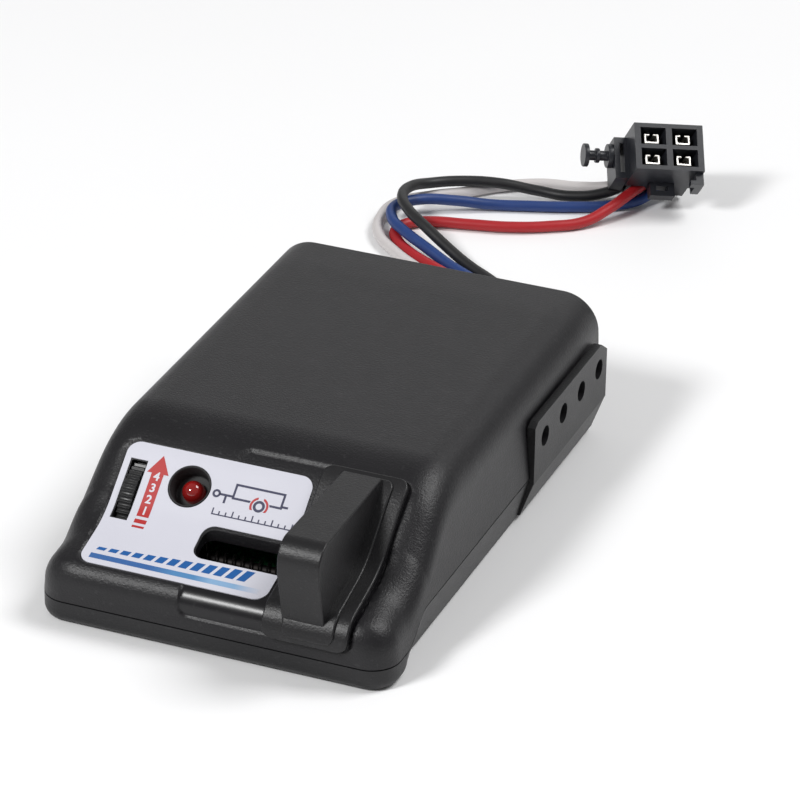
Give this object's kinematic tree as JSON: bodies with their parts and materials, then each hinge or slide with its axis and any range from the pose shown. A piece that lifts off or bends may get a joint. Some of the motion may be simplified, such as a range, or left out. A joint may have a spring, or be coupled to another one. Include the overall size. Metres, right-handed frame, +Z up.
{
  "type": "trailer brake controller",
  "caption": "Dash-mounted trailer brake controller: low two-shell case with a sloped panel, sliding hand lever, gain thumbwheel, lamp, side rails and a short four-wire lead with a plug.",
  "frame": {"origin": "centre of the case's flat base, under the middle of its 83 by 130 mm plan", "axes": "+X to the driver's right across the panel, +Y from the nose to the back wall and the lead, +Z up"},
  "size_m": [0.0927, 0.2681, 0.0346],
  "materials": {
    "case_black": "fine spark-textured satin black ABS",
    "tray_black": "smoother satin black ABS",
    "lever_black": "satin black ABS, lightly polished",
    "label_print": "printed polycarbonate overlay, satin white with blue and red print",
    "carriage_acetal": "natural acetal",
    "zinc_steel": "zinc-plated steel",
    "spring_steel": "drawn spring steel",
    "black_steel": "black oxide steel",
    "control_metal": "folded tinned shell",
    "wiper_brown": "phenolic",
    "wheel_black": "satin black nylon",
    "control_blue": "blue thermoset",
    "spindle_white": "natural nylon",
    "lamp_red": "diffused red epoxy",
    "board_green": "solder mask over glass epoxy",
    "sink_aluminium": "extruded aluminium",
    "package_black": "moulded epoxy package",
    "can_blue": "printed blue sleeve",
    "resistor_tan": "lacquered tan body",
    "grommet_rubber": "soft black rubber",
    "wire_white": "white PVC insulation",
    "wire_red": "red PVC insulation",
    "wire_blue": "blue PVC insulation",
    "wire_black": "black PVC insulation",
    "plug_black": "satin black nylon",
    "terminal_tin": "tinned brass"
  },
  "bodies": {
    "root": {"upper_case": "case_black", "lower_case": "tray_black", "panel_label": "label_print", "guide_rod": "zinc_steel", "return_spring": "spring_steel", "slide_control": "control_metal", "gain_control": "control_blue", "status_lamp": "lamp_red", "circuit_board": "board_green", "board_screws": "zinc_steel", "case_screws": "black_steel", "heat_sink": "sink_aluminium", "power_transistors": "package_black", "transistor_screws": "zinc_steel", "capacitors": "can_blue", "control_chips": "package_black", "resistors": "resistor_tan", "flyback_diode": "package_black", "wire_grommet": "grommet_rubber", "wire_tails": "wire_black", "wire_white": "wire_white", "wire_red": "wire_red", "wire_blue": "wire_blue", "wire_black": "wire_black", "plug_housing": "plug_black", "plug_terminals": "terminal_tin", "plug_clip": "plug_black"},
    "lever": {"slide_lever": "lever_black", "lever_carriage": "carriage_acetal", "carriage_screw": "zinc_steel", "slide_wiper": "wiper_brown"},
    "gain": {"gain_wheel": "wheel_black", "gain_spindle": "spindle_white"}
  },
  "joints": [
    {"name": "lever_slide", "type": "slide", "parent": "root", "child": "lever", "axis": [-1, 0, 0], "range_m": [0, 0.0185], "stiffness_N_per_m": 80, "springref_m": -0.02, "deforming": ["return_spring"]},
    {"name": "gain_turn", "type": "hinge", "parent": "root", "child": "gain", "pos_m": [-0.0292, -0.0357, 0.01523], "axis": [1, 0, 0], "range_deg": [-135, 135]}
  ]
}
